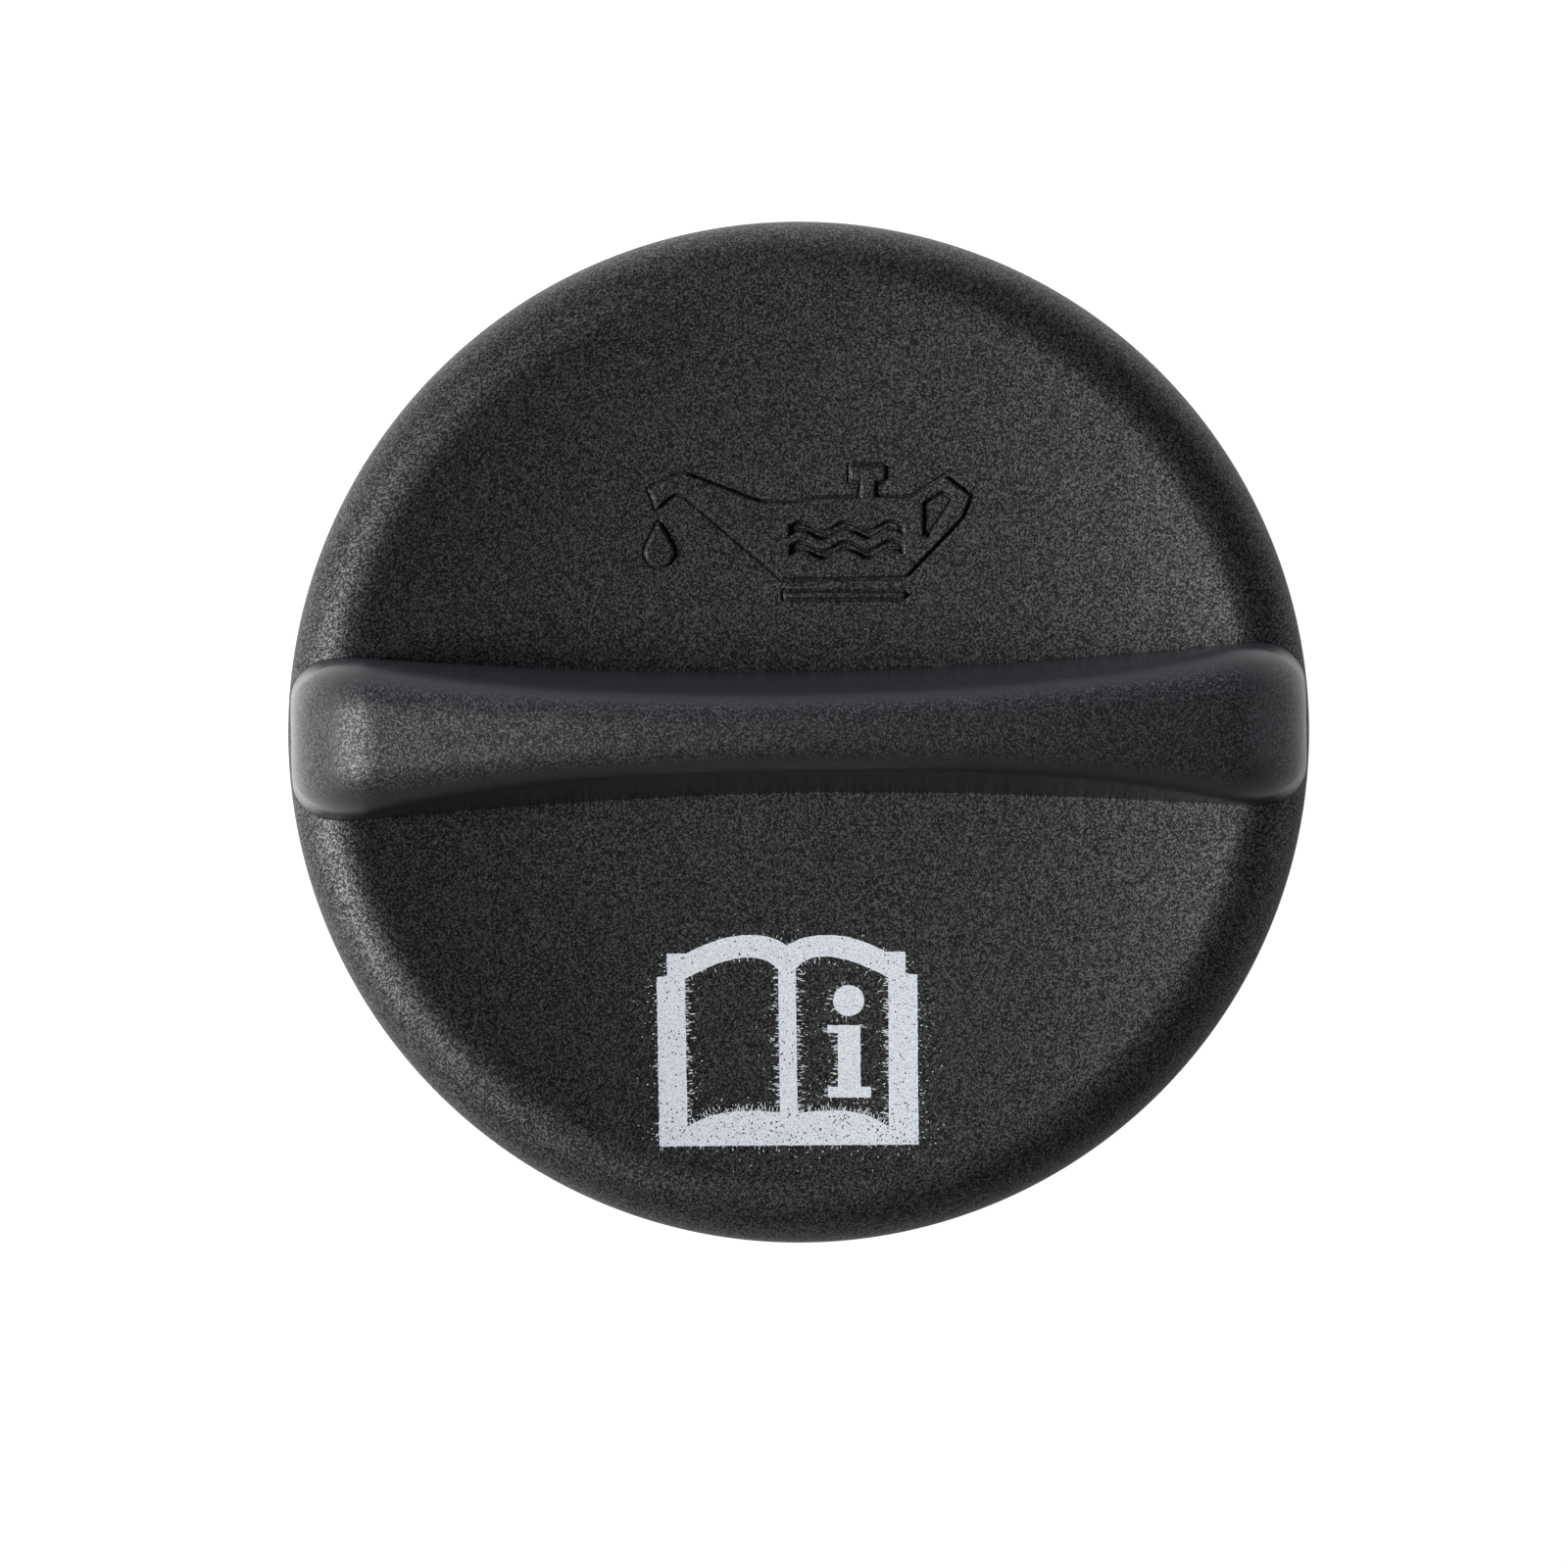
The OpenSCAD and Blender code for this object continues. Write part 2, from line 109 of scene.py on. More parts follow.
def grain_and_glints(tree, where, shader, colour, specular, low, high, share=None):
    """Lets fine cells of chance brightness vary the colour and the gloss around their plain values: the
    grain's own tone, with its glints painted into the colour.
    """
    cells = tree.nodes.new("ShaderNodeTexVoronoi")
    socket(cells, "Scale", CELLS)
    tree.links.new(where, cells.inputs["Vector"])
    factor = remap(tree, cells.outputs["Color"], 0.35, 0.95, low, high)
    if share is not None:
        mix = tree.nodes.new("ShaderNodeMix")
        socket(mix, "A", 1.0)
        tree.links.new(share, mix.inputs["Factor"])
        tree.links.new(factor, mix.inputs["B"])
        factor = mix.outputs["Result"]
    tint = tree.nodes.new("ShaderNodeVectorMath")
    tint.operation = "SCALE"
    tint.inputs[0].default_value = colour
    tree.links.new(factor, tint.inputs["Scale"])
    tree.links.new(tint.outputs[0], shader.inputs["Base Color"])
    tree.links.new(combine(tree, "MULTIPLY", factor, specular), shader.inputs["Specular IOR Level"])


CELLS = 11500  # to a metre, as all patterns
PITS = 9000
GRAINED_BLACK = (0.0046, 0.0047, 0.0054)
GRAINED_GLOSS = 0.61
GRAINED_ROUGH = 0.57
grained, tree, shader, where = new_material("grained_nylon", GRAINED_BLACK, GRAINED_ROUGH, GRAINED_GLOSS)
# Painted glints: the grain's bright specks go into the colour as well as the gloss.
grain_and_glints(tree, where, shader, GRAINED_BLACK, GRAINED_GLOSS, 0.42, 3.2)
bump(tree, shader, noise(tree, where, PITS, 1, 0.6), 0.4, 0.03 * MM)

FLOOR = 23.05
CREST = 26.05
CREST_R = 30.9
CREST_ROUND = 3.4
SHOULDER_R = 30.3
SHOULDER_ROUND = 4.3
SKIRT_FOOT = 5.55
SKIRT_INSIDE_R = 32.1
SKIRT_R = 35.0
SKIRT_TOP_R = SHOULDER_R + SHOULDER_ROUND
SKIRT_EDGE = 0.8
SKIRT_STEPS = 24
DISH_POWER = 2.8
DISH_STEPS = 90
AROUND = 400
RISE = math.sqrt((SHOULDER_ROUND - CREST_ROUND) ** 2 - (CREST_R - SHOULDER_R) ** 2)
SHOULDER_Z = CREST - CREST_ROUND - RISE
SHOULDER_ANGLE = math.degrees(math.atan2(RISE, CREST_R - SHOULDER_R))
DISH_ANGLE = math.degrees(math.atan(DISH_POWER * (CREST - FLOOR) / CREST_R))
EDGE_R = CREST_R - CREST_ROUND * math.sin(math.radians(DISH_ANGLE))
EDGE_Z = CREST - CREST_ROUND + CREST_ROUND * math.cos(math.radians(DISH_ANGLE))


def arc(r, z, radius, start, end, steps):
    angles = [math.radians(start + (end - start) * i / steps) for i in range(steps + 1)]
    return [(r + radius * math.cos(a), z + radius * math.sin(a)) for a in angles]


def dish(r):
    return FLOOR + (EDGE_Z - FLOOR) * (np.minimum(r, EDGE_R) / EDGE_R) ** DISH_POWER


def new_piece(name, mesh, material):
    """Puts a finished mesh on the cap, with smooth faces and its material."""
    mesh.materials.append(material)
    for p in mesh.polygons:
        p.use_smooth = True
    piece = bpy.data.objects.new(name, mesh)
    bpy.context.scene.collection.objects.link(piece)
    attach(piece, "root")
    return piece


def mesh_from(name, verts, faces):
    mesh = bpy.data.meshes.new(name)
    mesh.from_pydata([tuple(c * MM for c in v) for v in verts], [], faces)
    mesh.validate()
    return mesh


profile = [(SKIRT_INSIDE_R, SKIRT_FOOT)]
profile += arc(SKIRT_R - SKIRT_EDGE, SKIRT_FOOT + SKIRT_EDGE, SKIRT_EDGE, -90, 0, 8)
foot_r, foot_z = profile[-1]
for i in range(1, SKIRT_STEPS):
    part = i / SKIRT_STEPS
    profile.append((foot_r + (SKIRT_TOP_R - foot_r) * part, foot_z + (SHOULDER_Z - foot_z) * part))
profile += arc(SHOULDER_R, SHOULDER_Z, SHOULDER_ROUND, 0, SHOULDER_ANGLE, 40)
profile += arc(CREST_R, CREST - CREST_ROUND, CREST_ROUND, SHOULDER_ANGLE + 1.5, 90 + DISH_ANGLE, 20)
for i in range(1, DISH_STEPS + 1):
    r = EDGE_R * (1 - i / DISH_STEPS)
    profile.append((r, float(dish(r))))
bm = bmesh.new()
line = [bm.verts.new((r * MM, 0, z * MM)) for r, z in profile]
edges = [bm.edges.new(pair) for pair in zip(line, line[1:])]
bmesh.ops.spin(bm, geom=line + edges, cent=(0, 0, 0), axis=(0, 0, 1), angle=2 * math.pi, steps=AROUND,
               use_merge=True)
bmesh.ops.remove_doubles(bm, verts=bm.verts, dist=0.001 * MM)
bmesh.ops.recalc_face_normals(bm, faces=bm.faces)
mesh = bpy.data.meshes.new("cover_skin")
bm.to_mesh(mesh)
bm.free()
cover_skin = new_piece("cover_skin", mesh, grained)


# The grip bar is moulded in one with the cover, hollow, with a waist, a crown, flared ends and a nose that
# runs out over the rim. It is the same nylon, with the grain on its upward land and its two ends, and smooth
# flanks. The skin's lower edge ends inside the cover's wall, so only the line on the dish shows.
BAR_BLACK = (0.0064, 0.0066, 0.0075)
BAR_GLOSS = 0.6
BAR_ROUGH = 0.57
FLANK_ROUGH = 0.26
END_ROUGH = 0.3
satin, tree, shader, where = new_material("satin_nylon", BAR_BLACK, BAR_ROUGH, BAR_GLOSS)
facing = tree.nodes.new("ShaderNodeSeparateXYZ")
tree.links.new(tree.nodes.new("ShaderNodeNewGeometry").outputs["Normal"], facing.inputs["Vector"])
endward = combine(tree, "ABSOLUTE", facing.outputs["X"], 0.0)
upward = remap(tree, facing.outputs["Z"], 0.6, 0.92, 0.06, 1.0)
upward = combine(tree, "MAXIMUM", upward, remap(tree, endward, 0.45, 0.85, 0.0, 0.8))
# Painted glints of the grain, in colour and gloss, on the upward land and the ends only.
grain_and_glints(tree, where, shader, BAR_BLACK, BAR_GLOSS, 0.55, 2.7, upward)
bump(tree, shader, noise(tree, where, PITS, 1, 0.6), combine(tree, "MULTIPLY", upward, 0.5), 0.04 * MM)
blunt = remap(tree, facing.outputs["Z"], 0.1, 0.7, FLANK_ROUGH, BAR_ROUGH)
blunt = combine(tree, "MAXIMUM", blunt, remap(tree, endward, 0.45, 0.85, FLANK_ROUGH, END_ROUGH))
tree.links.new(blunt, shader.inputs["Roughness"])

REACH = 34.3
CORNER = 5.3
CORNER_WIDTH = 2.3
CORNER_POWER = 2.6
END_ROUND = 7.0
END_DROP = 9.6
CROWN = 2.0
BAR_HEIGHT = 9
WAIST = 8.2
FLARE = 2.65
FLARE_POWER = 1.7
LAND = 0.8
LAND_FLARE = 2.4
EDGE = 2.3
EDGE_FLARE = 1.4
NOSE_DIP = 4
SUNK = 1.3
BAR_STEPS = 260
EDGE_STEPS = 20
FLANK_STEPS = 6
LAND_STEPS = 4
WIDEST = REACH - CORNER
NOSE_X = REACH - END_ROUND
END_ANGLE = math.atan(2 * CROWN / NOSE_X * END_ROUND / END_DROP)
CROWN_REACH = NOSE_X + END_ROUND * math.sin(END_ANGLE)
BAR_TOP = CREST + BAR_HEIGHT
NOSE_Z = BAR_TOP - CROWN - END_DROP * math.cos(END_ANGLE)


def bar_corner(x):
    past = max(0, abs(x) - WIDEST) / CORNER
    return CORNER_WIDTH * (1 - math.sqrt(max(0, 1 - past ** CORNER_POWER)))


def bar_half(x):
    return (WAIST + FLARE * (abs(x) / WIDEST) ** FLARE_POWER) / 2 - bar_corner(x)


def bar_top(x):
    x = abs(x)
    if x <= CROWN_REACH:
        return BAR_TOP - CROWN * (x / CROWN_REACH) ** 2
    return NOSE_Z + END_DROP * math.sqrt(max(0, 1 - ((x - NOSE_X) / END_ROUND) ** 2))


def bar_foot(x):
    if abs(x) <= CREST_R:
        return float(dish(abs(x)))
    return CREST - NOSE_DIP * ((abs(x) - CREST_R) / (REACH - CREST_R)) ** 2


def bar_section(x):
    """The outline across the bar at x: up the near flank, round its edge, over the land and down again."""
    half, top = bar_half(x), bar_top(x)
    foot = min(bar_foot(x), top - 1)
    outward = min(abs(x) / WIDEST, 1)
    share = half / (half + bar_corner(x))
    edge = (EDGE + EDGE_FLARE * outward ** (2 * FLARE_POWER)) * share
    rise = min(1.2 * edge, 0.9 * (top - foot))
    land = (LAND + LAND_FLARE * outward ** FLARE_POWER) / 2 * share
    lean = math.atan((half - land - edge) / (top - rise - foot) * rise / edge)
    rounding = []
    for i in range(EDGE_STEPS + 1):
        a = lean + (math.pi / 2 - lean) * i / EDGE_STEPS
        rounding.append((land + edge * math.cos(a), top - rise + rise * math.sin(a)))
    side = [(half, foot - SUNK), (half, foot)]
    for i in range(1, FLANK_STEPS):
        part = i / FLANK_STEPS
        side.append((half + (rounding[0][0] - half) * part, foot + (rounding[0][1] - foot) * part))
    side += rounding
    side += [(land * (1 - i / LAND_STEPS), top) for i in range(1, LAND_STEPS)]
    return side + [(0, top)] + [(-y, z) for y, z in reversed(side)]


stations = [-REACH * math.cos(math.pi * i / BAR_STEPS) for i in range(BAR_STEPS + 1)]
sections = [bar_section(x) for x in stations]
count = len(sections[0])
verts = [(x, y, z) for x, section in zip(stations, sections) for y, z in section]
faces = [(i * count + j, (i + 1) * count + j, (i + 1) * count + j + 1, i * count + j + 1)
         for i in range(BAR_STEPS) for j in range(count - 1)]
for start, order in ((0, 1), (BAR_STEPS * count, -1)):
    for j in range(count // 2):
        quad = (start + j, start + j + 1, start + count - 2 - j, start + count - 1 - j)
        faces.append(quad[::order])
mesh = mesh_from("grip_skin", verts, faces)
bm = bmesh.new()
bm.from_mesh(mesh)
bmesh.ops.recalc_face_normals(bm, faces=bm.faces)
bm.to_mesh(mesh)
bm.free()
grip_skin = new_piece("grip_skin", mesh, satin)


# The underside of the cover is the same moulding in smooth nylon: the hub ring, the ribs and the hollow of
# the bar. It is what the CAD cover shows inside, without the outer faces that the two skins stand for.
NYLON_BLACK = (0.02, 0.02, 0.022)
NYLON_PITS = 1400
SKIN_NEAR = 0.7 * MM
SHARP = 28
smooth, tree, shader, where = new_material("smooth_nylon", NYLON_BLACK, 0.38, 0.5)
bump(tree, shader, noise(tree, where, NYLON_PITS, 2), 0.12, 0.1 * MM)

skins = []
for skin in (cover_skin, grip_skin):
    bm = bmesh.new()
    bm.from_mesh(skin.data)
    skins.append(BVHTree.FromBMesh(bm))
    bm.free()
bm = bmesh.new()
bm.from_mesh(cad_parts["cover"].data)
bmesh.ops.remove_doubles(bm, verts=bm.verts, dist=0.001 * MM)
outer = []
for f in bm.faces:
    middle = f.calc_center_median()
    if any(t.find_nearest(middle, SKIN_NEAR)[0] is not None for t in skins):
        outer.append(f)
bmesh.ops.delete(bm, geom=outer, context="FACES")
mesh = bpy.data.meshes.new("cover_inside")
bm.to_mesh(mesh)
bm.free()
mesh.materials.clear()
cover_inside = new_piece("cover_inside", mesh, smooth)
mesh.set_sharp_from_angle(angle=math.radians(SHARP))
for skin in (cover_skin, grip_skin, cover_inside):
    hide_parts("cover")


# The camera stands straight above the cap and is turned by 1 degree, as in the photo. It comes before the
# signs, because they are laid out along its view. Its places are in metres.
SENSOR = 36
LENS = 195.8
AWAY = 0.5791
TURN = math.radians(0.95)
AIM = Vector((-0.00105, -0.0035, 0.0209))
data = bpy.data.cameras.new("camera")
data.sensor_width = SENSOR
data.lens = LENS
data.clip_start = 0.05
data.clip_end = 10
camera = bpy.data.objects.new("camera", data)
bpy.context.scene.collection.objects.link(camera)
bpy.context.scene.camera = camera
back = Vector((0, 0, 1))
right = Vector((math.cos(TURN), -math.sin(TURN), 0))
up = back.cross(right)
place = AIM + back * AWAY
camera.matrix_world = Matrix((
    (right.x, up.x, back.x, place.x),
    (right.y, up.y, back.y, place.y),
    (right.z, up.z, back.z, place.z),
    (0, 0, 0, 1)))


# The oil can with its drop is a raised sign, moulded in the dish: it stands 0.3 mm proud, with a narrow
# groove along its edges. It is a height field on a fine grid, which takes the dish's place there. Outlines
# are in the picture's units, PICTURE to a side, and are laid on the dish along the camera's view.
PICTURE = 1600
METRE = 1000
SIGN_X = (-11.6, 12.6)
SIGN_Y = (7.6, 20.2)
SIGN_PITCH = 0.062
SIGN_MARGIN = 0.8
SIGN_LIFT = 0.006
SIGN_EDGE = (-0.1, -0.06, 0.03, 0.06, 0.17, 0.22)
SIGN_HEIGHT = (0.32, 0.29, -0.13, -0.15, -0.02, 0.0)
WAVES = 2.5
WAVE_HEIGHT = 0.3
WAVE_HALF = 0.26
WAVE_STEEP = 0.87
DROP_TIP = (672, 532)
DROP_AT = (673, 564)
DROP_R = 15
CAN = [(662, 500), (669, 495), (699, 483), (775, 512), (812, 513), (835, 508), (878, 507.5), (878, 492),
       (867, 491), (867, 475), (903, 475), (903, 491), (893, 492), (893, 507), (930, 507.5), (964.5, 486),
       (990.4, 506), (982, 528), (924, 589), (798, 591), (699, 506), (691, 504), (684, 507), (670, 520)]
HANDLE_HOLE = [(942, 513), (962, 502), (973, 509), (947, 548), (942, 545)]
LINE_UNDER = [(800, 604), (924, 604), (924, 611), (800, 611)]
LEVEL_LINES = [(806, 562), (921, 540)]


def disc(at, radius, start, end, step):
    angles = [math.radians(a) for a in range(start, end, step)]
    return [(at[0] + radius * math.cos(a), at[1] + radius * math.sin(a)) for a in angles]


def on_dish(points):
    """Lays points of the picture on the dish, in millimetres."""
    out = []
    for u, v in points:
        across = (u - PICTURE / 2) / PICTURE * SENSOR / camera.data.lens
        over = (PICTURE / 2 - v) / PICTURE * SENSOR / camera.data.lens
        ray = right * across + up * over - back
        height = FLOOR
        for i in range(6):
            hit = place * METRE + ray * ((height - place.z * METRE) / ray.z)
            height = float(dish(math.hypot(hit.x, hit.y)))
        out.append((hit.x, hit.y))
    return out


def distance(px, py, loop):
    """How far points lie from an outline, below zero inside it."""
    best = np.full(px.shape, 1e9)
    inside = np.zeros(px.shape, bool)
    for (ax, ay), (bx, by) in zip(loop, loop[1:] + loop[:1]):
        dx, dy = bx - ax, by - ay
        t = np.clip(((px - ax) * dx + (py - ay) * dy) / (dx * dx + dy * dy + 1e-12), 0, 1)
        best = np.minimum(best, np.hypot(px - ax - t * dx, py - ay - t * dy))
        crosses = (ay > py) != (by > py)
        with np.errstate(divide="ignore", invalid="ignore"):
            at = ax + (py - ay) * dx / (dy if dy else 1e-12)
        inside ^= crosses & (px < at)
    return np.where(inside, -best, best)


xs = np.arange(*SIGN_X, SIGN_PITCH)
ys = np.arange(*SIGN_Y, SIGN_PITCH)
px, py = np.meshgrid(xs, ys)
drop = [DROP_TIP] + disc(DROP_AT, DROP_R, -32, 213, 10)
sign = np.maximum(distance(px, py, on_dish(CAN)), -distance(px, py, on_dish(HANDLE_HOLE)))
(left, low_line), (side, high_line) = on_dish(LEVEL_LINES)
ends = np.maximum(left - px, px - side)
for level in (low_line, high_line):
    wave = level + WAVE_HEIGHT * np.sin((px - left) * 2 * math.pi * WAVES / (side - left))
    sign = np.maximum(sign, -np.maximum(np.abs(py - wave) * WAVE_STEEP - WAVE_HALF, ends))
for outline in (LINE_UNDER, drop):
    sign = np.minimum(sign, distance(px, py, on_dish(outline)))
pz = dish(np.hypot(px, py)) + np.interp(sign, SIGN_EDGE, SIGN_HEIGHT) + SIGN_LIFT
rows, columns = px.shape
verts = list(zip(px.ravel().tolist(), py.ravel().tolist(), pz.ravel().tolist()))
faces = [(a * columns + b, a * columns + b + 1, (a + 1) * columns + b + 1, (a + 1) * columns + b)
         for a in range(rows - 1) for b in range(columns - 1)]
oil_can_sign = new_piece("oil_can_sign", mesh_from("oil_can_sign", verts, faces), grained)

bm = bmesh.new()
bm.from_mesh(cover_skin.data)
under = []
for f in bm.faces:
    middle = f.calc_center_median() * METRE
    beside = xs[0] + SIGN_MARGIN < middle.x < xs[-1] - SIGN_MARGIN
    beyond = ys[0] + SIGN_MARGIN < middle.y < ys[-1] - SIGN_MARGIN
    if middle.z > FLOOR - 1 and beside and beyond:
        under.append(f)
bmesh.ops.delete(bm, geom=under, context="FACES")
bm.to_mesh(cover_skin.data)
bm.free()


# The open book with an information mark is printed in white: a thin film of ink that follows the dish, with
# a rough edge. The grain of the nylon shows through the ink as small darker spots.
INK = (0.74, 0.78, 0.84)
INK_THIN = (0.38, 0.41, 0.45, 1)
INK_FULL = (0.81, 0.85, 0.91, 1)
INK_SPOTS = 11000
INK_LIFT = 0.03
INK_GRID = 0.9
INK_STEP = 0.16
INK_JITTER = 0.022
white, tree, shader, where = new_material("white_print", INK, 0.6, 0.3)
mix = tree.nodes.new("ShaderNodeMix")
mix.data_type = "RGBA"
mix.inputs[6].default_value = INK_THIN
mix.inputs[7].default_value = INK_FULL
tree.links.new(remap(tree, noise(tree, where, INK_SPOTS, 1), 0.25, 0.58, 0.0, 1.0), mix.inputs[0])
tree.links.new(mix.outputs[2], shader.inputs["Base Color"])


def bows(start, *arcs):
    """Points along quadratic arcs that follow each other, each given by its control and its end."""
    out = []
    for control, end in arcs:
        for t in (i / 8 for i in range(8)):
            out.append(tuple((1 - t) ** 2 * a + 2 * t * (1 - t) * c + t * t * b
                             for a, c, b in zip(start, control, end)))
        start = end
    return out


BOOK = [(670, 997), (673, 1170), (937.5, 1168), (936, 994), (924, 994), (924, 971), (903.5, 971)]
BOOK += bows((903.5, 971), ((872, 954), (845, 954)), ((818, 954), (802.5, 965)),
             ((790, 954), (766, 954)), ((735, 954), (700, 973)))
BOOK += [(700, 973), (680, 973), (681, 996)]
LEFT_PAGE = [(699, 999)] + bows((699, 999), ((738, 977), (763.5, 977)), ((785, 977), (794, 990)))
LEFT_PAGE += [(794, 990), (796, 1136)]
LEFT_PAGE += bows((796, 1136), ((780, 1133), (762, 1133.5)), ((726, 1133.5), (701.5, 1150)))
LEFT_PAGE += [(701.5, 1150)]
RIGHT_PAGE = [(812, 989)] + bows((812, 989), ((822, 976), (840, 976)), ((868, 976), (906.5, 998)))
RIGHT_PAGE += [(906.5, 998), (907, 1150)]
RIGHT_PAGE += bows((907, 1150), ((885, 1133), (852, 1133)), ((830, 1133), (814, 1136)))
RIGHT_PAGE += [(814, 1136)]
DOT = disc((866, 1021), 16, 0, 360, 12)
STEM = [(844, 1046), (878, 1046), (878.5, 1109), (889, 1109), (889, 1120), (845, 1120), (845, 1109),
        (855, 1109), (855, 1054), (844, 1054)]
rng = random.Random(7)


def rough_edge(loop):
    out = []
    for (ax, ay), (bx, by) in zip(loop, loop[1:] + loop[:1]):
        n = max(1, int(math.hypot(bx - ax, by - ay) / INK_STEP))
        for i in range(n):
            t = i / n
            out.append((ax + (bx - ax) * t + rng.uniform(-INK_JITTER, INK_JITTER),
                        ay + (by - ay) * t + rng.uniform(-INK_JITTER, INK_JITTER)))
    return out


def ink_film(name, outlines):
    """Fills the outlines with a flat sheet, cuts it on a grid and lays it on the dish."""
    bm = bmesh.new()
    for outline in outlines:
        ring = [bm.verts.new((x, y, 0)) for x, y in outline]
        for a, b in zip(ring, ring[1:] + ring[:1]):
            bm.edges.new((a, b))
    bmesh.ops.triangle_fill(bm, edges=bm.edges, use_beauty=True, use_dissolve=False, normal=(0, 0, 1))
    for k in (0, 1):
        at = min(v.co[k] for v in bm.verts) + INK_GRID
        high = max(v.co[k] for v in bm.verts)
        while at < high:
            co, no = Vector((0, 0, 0)), Vector((0, 0, 0))
            co[k], no[k] = at, 1
            sheet = bm.verts[:] + bm.edges[:] + bm.faces[:]
            bmesh.ops.bisect_plane(bm, geom=sheet, plane_co=co, plane_no=no)
            at += INK_GRID
    for v in bm.verts:
        v.co.z = float(dish(math.hypot(v.co.x, v.co.y))) + INK_LIFT
        v.co *= MM
    for f in bm.faces:
        f.normal_update()
        if f.normal.z < 0:
            f.normal_flip()
    mesh = bpy.data.meshes.new(name)
    bm.to_mesh(mesh)
    bm.free()
    piece = new_piece(name, mesh, white)


loops = []
for outline in (BOOK, LEFT_PAGE, RIGHT_PAGE, DOT, STEM):
    ring = on_dish(outline)
    loops.append([p for p, q in zip(ring, ring[1:] + ring[:1]) if math.dist(p, q) > 0.01])
ink_film("book_print", [rough_edge(loop) for loop in loops[:3]])
ink_film("mark_print", [rough_edge(loop) for loop in loops[3:]])


# The ink's overspray is thin strokes across the edges of the pages and on the left of the mark, and short
# ones outside the book, each at a chance distance from the edge. Pinholes in the ink let the black nylon
# show, most of them in the book's lower band.
SPECK = ((-0.5, 0), (-0.2, 0.5), (0.3, 0.4), (0.5, 0), (0.2, -0.5), (-0.3, -0.4))
STROKE_WIDE = (0.04, 0.07)
STROKE_LIFT = 0.028
STROKE_TURN = 0.15
SHORTEST = 0.08
LONG_STROKE = 0.5
LONG_OUTSIDE = 0.24
LONG_WHEN_FAR = 0.14
NEAR = 0.5
FAR_STROKE = 0.26
FAR_OUTSIDE = 0.45
FARTHEST = 1.7
HOLES = 420
HOLES_X = (-9.8, 8.3)
HOLES_Y = (-28.5, -14)
HOLE_WIDE = (0.05, 0.11)
HOLE_LIFT = 0.036
HOLE_INSET = 0.1
LOWER_BAND = -25.2
HOLE_SHARE = 0.35
verts, faces = [], []


def speck(x, y, length, width, angle, lift):
    c, s = math.cos(angle), math.sin(angle)
    start = len(verts)
    for u, v in SPECK:
        vx, vy = x + u * length * c - v * width * s, y + u * length * s + v * width * c
        verts.append((vx, vy, float(dish(math.hypot(vx, vy))) + lift))
    faces.append(tuple(range(start, start + len(SPECK))))


def strokes_per_mm(n, nx, ny):
    """How many strokes stand on a millimetre of the edge of loop n, where it faces (nx, ny)."""
    if n in (1, 2):
        return 11 * abs(nx) if abs(nx) > 0.7 else 12 * max(0, ny) + 2
    if n in (3, 4):
        return 11 * max(0, -nx) + 1
    return 5 * abs(nx) + 3.5 * max(0, -ny)


for n, loop in enumerate(loops):
    area = sum(a[0] * b[1] - b[0] * a[1] for a, b in zip(loop, loop[1:] + loop[:1])) / 2
    way = (1 if area > 0 else -1) * (-1 if n in (1, 2) else 1)
    for (ax, ay), (bx, by) in zip(loop, loop[1:] + loop[:1]):
        size = math.hypot(bx - ax, by - ay)
        nx, ny = (by - ay) / size * way, -(bx - ax) / size * way
        strokes = size * strokes_per_mm(n, nx, ny)
        for i in range(int(strokes) + (rng.random() < strokes % 1)):
            t = rng.random()
            far = min(rng.expovariate(1 / (FAR_STROKE if n else FAR_OUTSIDE)), FARTHEST)
            x, y = ax + (bx - ax) * t + nx * far, ay + (by - ay) * t + ny * far
            longest = (LONG_STROKE if n else LONG_OUTSIDE) if far < NEAR else LONG_WHEN_FAR
            long = rng.uniform(SHORTEST, longest)
            wide = rng.uniform(*STROKE_WIDE)
            speck(x, y, long, wide, math.atan2(ny, nx) + rng.gauss(0, STROKE_TURN), STROKE_LIFT)
overspray = new_piece("print_overspray", mesh_from("print_overspray", verts, faces), white)

verts, faces = [], []
holes = []
while len(holes) < HOLES:
    x, y = rng.uniform(*HOLES_X), rng.uniform(*HOLES_Y)
    spot = np.array([x]), np.array([y])
    in_book = distance(*spot, loops[0])[0] < -HOLE_INSET
    if in_book and all(distance(*spot, page)[0] > HOLE_INSET for page in loops[1:3]):
        if y < LOWER_BAND or rng.random() < HOLE_SHARE:
            holes.append((x, y))
for x, y in holes:
    wide = rng.uniform(*HOLE_WIDE)
    speck(x, y, wide * 1.3, wide, rng.uniform(0, 3), HOLE_LIFT)
pinholes = new_piece("print_pinholes", mesh_from("print_pinholes", verts, faces), grained)


# The plug, the seal ring and the splash disc snap in from below: smooth black nylon, dull rubber and grey
# nylon. They keep the solids that the CAD made and only take their materials here.
rubber, tree, shader, where = new_material("seal_rubber", (0.016, 0.016, 0.016), 0.62, 0.4)
bump(tree, shader, noise(tree, where, 2600, 3), 0.2, 0.1 * MM)
grey, tree, shader, where = new_material("grey_nylon", (0.045, 0.045, 0.047), 0.42, 0.5)
bump(tree, shader, noise(tree, where, NYLON_PITS, 2), 0.12, 0.1 * MM)
for name, material in (("plug", smooth), ("seal_ring", rubber), ("splash_disc", grey)):
    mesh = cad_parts[name].data
    mesh.materials.clear()
    mesh.materials.append(material)
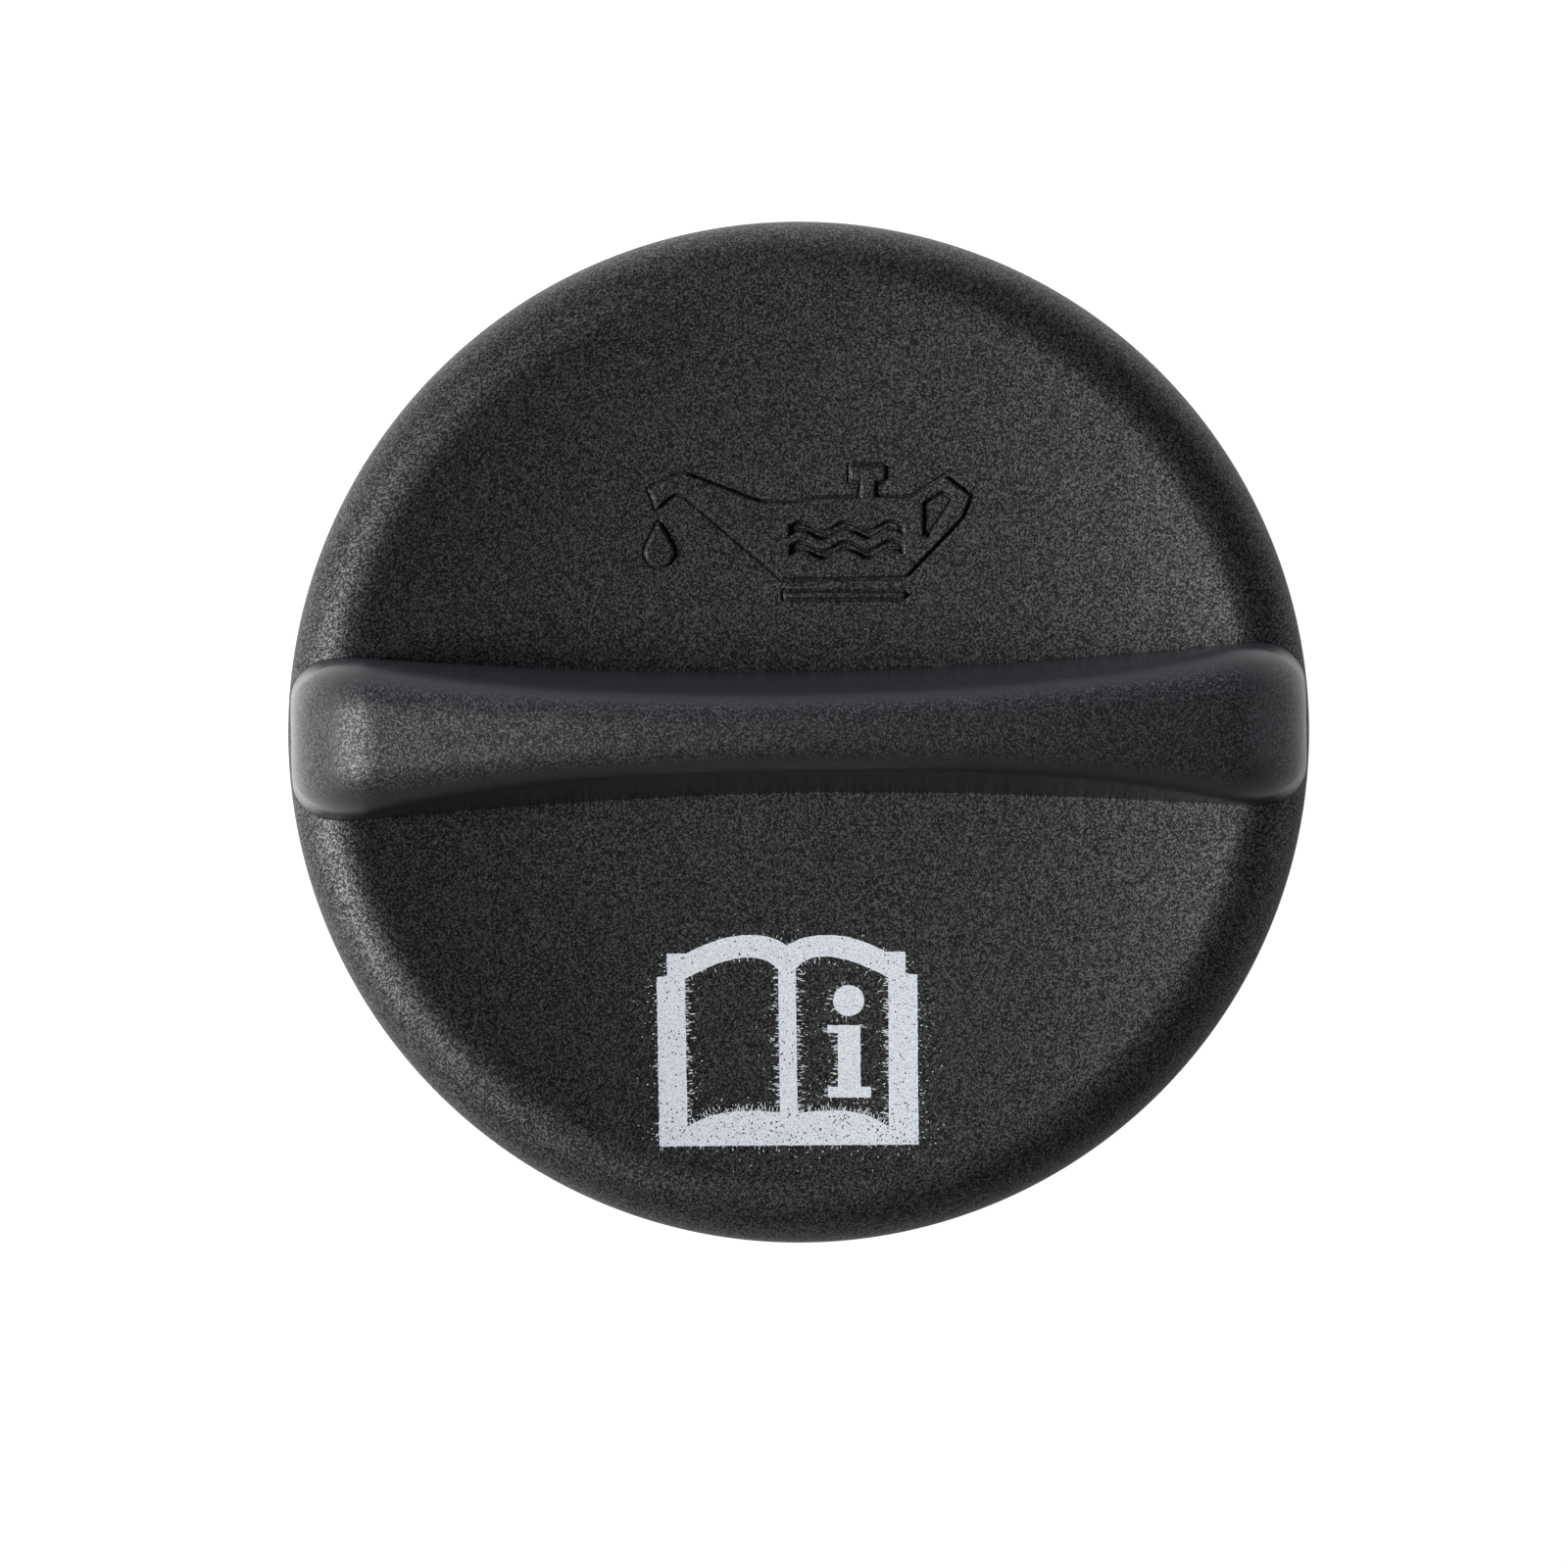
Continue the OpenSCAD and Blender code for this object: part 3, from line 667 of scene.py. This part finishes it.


# The floor is a plain pale sheet under the cap. The camera sees it mostly as white paper that keeps a light
# shadow. For the cap's steep faces it is a painted glow, not a lamp: they mirror a sheet that is brighter
# behind it and on its left than in front, and brighter near the cap than far off.
HALF_FLOOR = 2
BACK_AND_LEFT = (-0.55, 0.85, 0)
PAPER = (0.8, 0.8, 0.8)
GLOW = 1.15
GLOW_SHARE = 0.8
SHEEN_SHARE = 0.6
mesh = bpy.data.meshes.new("floor")
mesh.from_pydata([(-HALF_FLOOR, -HALF_FLOOR, 0), (HALF_FLOOR, -HALF_FLOOR, 0), (HALF_FLOOR, HALF_FLOOR, 0),
                  (-HALF_FLOOR, HALF_FLOOR, 0)], [], [(0, 1, 2, 3)])
floor = bpy.data.objects.new("floor", mesh)
bpy.context.scene.collection.objects.link(floor)
paper, tree, shader, where = new_material("floor_paper", PAPER, 0.9, 0.1)
glow = tree.nodes.new("ShaderNodeEmission")
socket(glow, "Color", (1, 1, 1, 1))
socket(glow, "Strength", GLOW)
toward = tree.nodes.new("ShaderNodeVectorMath")
toward.operation = "DOT_PRODUCT"
toward.inputs[1].default_value = BACK_AND_LEFT
tree.links.new(where, toward.inputs[0])
far = tree.nodes.new("ShaderNodeVectorMath")
far.operation = "LENGTH"
tree.links.new(where, far.inputs[0])
# Painted glow for all rays but the camera's: the floor's own emission, stronger toward the back and left and
# near the cap.
sideways = remap(tree, toward.outputs["Value"], -0.08, 0.06, 0.3, 2.15)
outward = remap(tree, far.outputs["Value"], 0.06, 0.16, 1.15, 0.6)
sheen = tree.nodes.new("ShaderNodeEmission")
tree.links.new(combine(tree, "MULTIPLY", sideways, outward), sheen.inputs["Strength"])
mirrored = tree.nodes.new("ShaderNodeMixShader")
socket(mirrored, "Fac", SHEEN_SHARE)
tree.links.new(shader.outputs[0], mirrored.inputs[1])
tree.links.new(sheen.outputs[0], mirrored.inputs[2])
seen = tree.nodes.new("ShaderNodeLightPath")
both = tree.nodes.new("ShaderNodeMixShader")
tree.links.new(combine(tree, "MULTIPLY", seen.outputs["Is Camera Ray"], GLOW_SHARE), both.inputs[0])
tree.links.new(mirrored.outputs[0], both.inputs[1])
tree.links.new(glow.outputs[0], both.inputs[2])
tree.links.new(both.outputs[0], tree.nodes["Material Output"].inputs["Surface"])
mesh.materials.append(paper)


# The light is one large soft lamp on the left, two weak ones from the right and the back, and a pale
# surrounding. A low lamp from the back draws the bar's far edge. Four more low lamps light the bar's flanks
# and ends alone, and only their plain colour, not their gloss.
LAMP_AWAY = 0.7
KEY_SIZE = 0.28
SOFT_SIZE = 0.36
WHITE = (1, 1, 1)
PALE = (0.92, 0.96, 1)
COOL = (0.9, 0.94, 1)
COOLER = (0.86, 0.92, 1)


def lamp(name, azimuth, elevation, size, power, colour):
    """A round lamp that faces the cap: its direction in degrees, its size in metres and its watts."""
    data = bpy.data.lights.new(name, "AREA")
    data.shape = "DISK"
    data.size = size
    data.energy = power
    data.color = colour
    o = bpy.data.objects.new(name, data)
    a, e = math.radians(azimuth), math.radians(elevation)
    to = Vector((math.cos(a) * math.cos(e), math.sin(a) * math.cos(e), math.sin(e)))
    o.location = to * LAMP_AWAY
    o.rotation_euler = to.to_track_quat("Z", "Y").to_euler()
    bpy.context.scene.collection.objects.link(o)
    return o


def link_light(source, piece, state):
    """Lets a lamp light one piece alone, or every piece but that one."""
    lit = bpy.data.collections.new("lit_by_" + source.name)
    lit.objects.link(piece)
    lit.collection_objects[0].light_linking.link_state = state
    source.light_linking.receiver_collection = lit


lamp("key_lamp", 186, 36, KEY_SIZE, 7.0, WHITE)
lamp("fill_lamp", 352, 14, SOFT_SIZE, 0.5, COOL)
link_light(lamp("back_lamp", 88, 16, SOFT_SIZE, 0.5, COOLER), grip_skin, "EXCLUDE")
link_light(lamp("edge_lamp", 90, 6, SOFT_SIZE, 0.3, PALE), grip_skin, "INCLUDE")
for name, azimuth, power in (("far_lamp", 90, 21), ("near_lamp", 270, 2), ("left_lamp", 180, 9),
                             ("right_lamp", 0, 5)):
    side_lamp = lamp(name, azimuth, 7, SOFT_SIZE, power, PALE)
    side_lamp.visible_glossy = False
    link_light(side_lamp, grip_skin, "INCLUDE")
world = bpy.data.worlds.new("surrounding")
bpy.context.scene.world = world
world.use_nodes = True
socket(world.node_tree.nodes["Background"], "Color", (0.97, 0.985, 1, 1))
socket(world.node_tree.nodes["Background"], "Strength", 0.05)

bpy.context.scene.view_settings.view_transform = "Standard"
